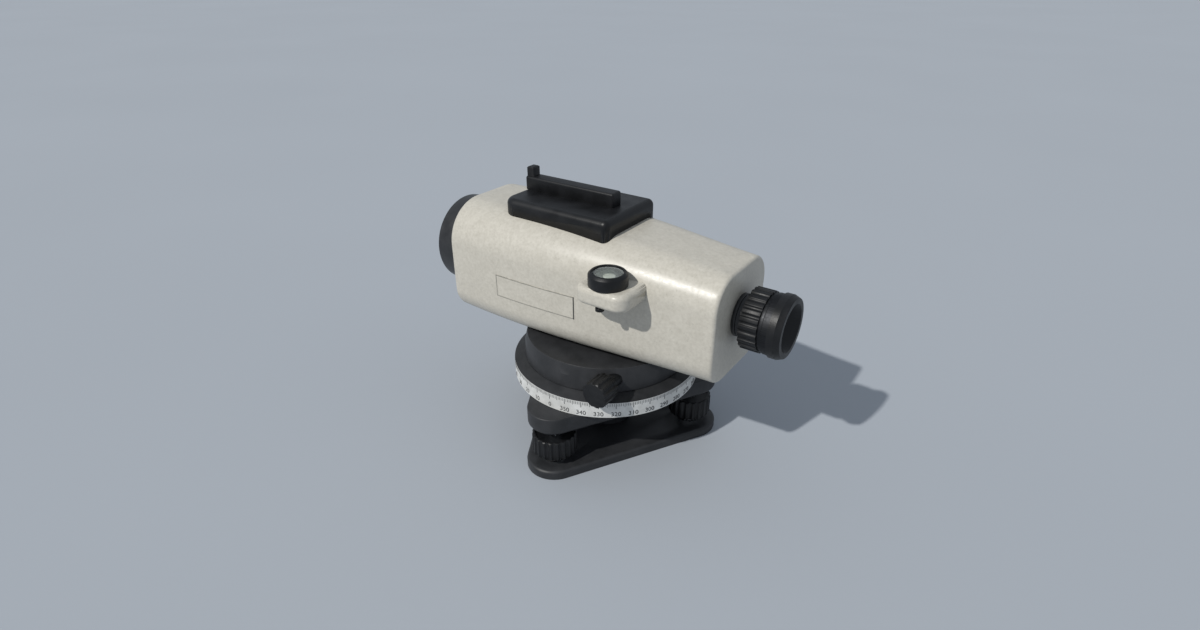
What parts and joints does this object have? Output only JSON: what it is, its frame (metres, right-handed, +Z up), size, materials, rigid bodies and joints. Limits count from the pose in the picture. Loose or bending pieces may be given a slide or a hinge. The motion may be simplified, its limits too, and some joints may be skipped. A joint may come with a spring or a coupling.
{
  "type": "automatic level",
  "caption": "Automatic level for surveying: telescope with compensator and circular vial, on a horizontal circle and a tribrach with foot screws.",
  "frame": {"origin": "centre of the tripod thread at the underside of the base plate, on the vertical axis", "axes": "+Z up along the vertical axis, +X towards the eyepiece along the telescope, -Y towards the side with the circular vial"},
  "size_m": [0.2145, 0.1213, 0.1523],
  "materials": {
    "cream_paint": "fine speckled satin enamel",
    "black_casting": "satin black enamel on a casting",
    "dark_aluminium": "black anodised, satin",
    "black_plastic": "fine grained black moulding",
    "white_scale": "matt white with dark degree marks",
    "brass": "turned",
    "steel": "turned bright",
    "optical_glass": "polished and coated",
    "vial_liquid": "pale green liquid",
    "black_chamber": "matt black anodised",
    "grey_ring": "satin",
    "magnet": "ground"
  },
  "bodies": {
    "base": {"base_plate": "black_casting", "tripod_bush": "brass", "foot_sockets": "steel", "tribrach": "black_casting", "foot_screw_bushes": "steel", "axis_sleeve": "brass", "circle_retainer": "brass", "friction_washer": "brass"},
    "horizontal_circle": {"circle_carrier": "dark_aluminium", "circle_band": "white_scale"},
    "worm_wheel_body": {"worm_wheel": "brass"},
    "upper_part": {"lower_housing": "black_casting", "axis_spindle": "steel", "axis_nut": "steel", "spindle_screws": "steel", "housing_screws": "steel", "drive_bushes": "steel", "main_housing": "cream_paint", "top_cover": "black_plastic", "sight_bar": "black_plastic", "vial_bracket": "cream_paint", "vial_cup": "black_plastic", "vial_glass": "optical_glass", "vial_liquid": "vial_liquid", "vial_screws": "steel", "objective_barrel": "dark_aluminium", "objective_lens": "optical_glass", "objective_ring": "dark_aluminium", "guide_tube": "black_chamber", "focus_bush": "brass", "compensator_base": "black_chamber", "prism_brackets": "black_chamber", "suspension_bridge": "steel", "fixed_prisms": "optical_glass", "suspension_tapes": "steel", "damper_magnets": "magnet", "eyepiece_tube": "dark_aluminium", "reticle_cell": "black_chamber", "reticle_plate": "optical_glass"},
    "drive": {"drive_shaft": "steel", "drive_knob_near": "black_plastic", "drive_knob_far": "black_plastic"},
    "focusing_carriage": {"focusing_cell": "brass", "focusing_lens": "optical_glass", "focusing_rack": "brass"},
    "focus_drive": {"focus_shaft": "steel", "focus_knob": "black_plastic"},
    "compensator_pendulum": {"pendulum": "steel", "pendulum_prism": "optical_glass"},
    "eyepiece": {"eyepiece_barrel": "black_chamber", "eyepiece_lenses": "optical_glass"},
    "diopter": {"diopter_ring": "black_plastic", "eyepiece_band": "grey_ring", "eyecup": "black_plastic"},
    "foot_screw_a": {"foot_screw_spindle_a": "steel", "foot_screw_knob_a": "black_plastic"},
    "foot_screw_b": {"foot_screw_spindle_b": "steel", "foot_screw_knob_b": "black_plastic"},
    "foot_screw_c": {"foot_screw_spindle_c": "steel", "foot_screw_knob_c": "black_plastic"}
  },
  "joints": [
    {"name": "foot_screw_a_turn", "type": "hinge", "parent": "base", "child": "foot_screw_a", "pos_m": [0, -0.051, 0], "axis": [0, 0, 1], "range_deg": [-900, 900]},
    {"name": "foot_screw_b_turn", "type": "hinge", "parent": "base", "child": "foot_screw_b", "pos_m": [0.04417, 0.0255, 0], "axis": [0, 0, 1], "range_deg": [-900, 900]},
    {"name": "foot_screw_c_turn", "type": "hinge", "parent": "base", "child": "foot_screw_c", "pos_m": [-0.04417, 0.0255, 0], "axis": [0, 0, 1], "range_deg": [-900, 900]},
    {"name": "circle_turn", "type": "hinge", "parent": "base", "child": "horizontal_circle", "pos_m": [0, 0, 0.044], "axis": [0, 0, 1], "continuous": true},
    {"name": "clutch_turn", "type": "hinge", "parent": "base", "child": "worm_wheel_body", "pos_m": [0, 0, 0.055], "axis": [0, 0, 1], "continuous": true},
    {"name": "azimuth_turn", "type": "hinge", "parent": "worm_wheel_body", "child": "upper_part", "pos_m": [0, 0, 0.058], "axis": [0, 0, 1], "continuous": true},
    {"name": "drive_turn", "type": "hinge", "parent": "upper_part", "child": "drive", "pos_m": [0.0294, 0, 0.0586], "axis": [0, 1, 0], "continuous": true},
    {"name": "focus_slide", "type": "slide", "parent": "upper_part", "child": "focusing_carriage", "axis": [1, 0, 0], "range_m": [-0.009, 0.009]},
    {"name": "focus_turn", "type": "hinge", "parent": "upper_part", "child": "focus_drive", "pos_m": [-0.044, 0, 0.0979], "axis": [0, 1, 0], "range_deg": [-105.3, 105.3]},
    {"name": "pendulum_swing", "type": "hinge", "parent": "upper_part", "child": "compensator_pendulum", "pos_m": [0.013, 0, 0.113], "axis": [0, 1, 0], "range_deg": [-0.25, 0.25]},
    {"name": "eyepiece_slide", "type": "slide", "parent": "upper_part", "child": "eyepiece", "axis": [1, 0, 0], "range_m": [-0.0015, 0.0015]},
    {"name": "diopter_turn", "type": "hinge", "parent": "eyepiece", "child": "diopter", "pos_m": [0.09, 0, 0.0979], "axis": [1, 0, 0], "range_deg": [-90.1, 90.1]}
  ],
  "couplings": [
    {"joint": "drive_turn", "follows": "azimuth_turn", "ratio": 72},
    {"joint": "focus_turn", "follows": "focus_slide", "rad_per_m": -204.08},
    {"joint": "diopter_turn", "follows": "eyepiece_slide", "rad_per_m": 1047.2}
  ]
}
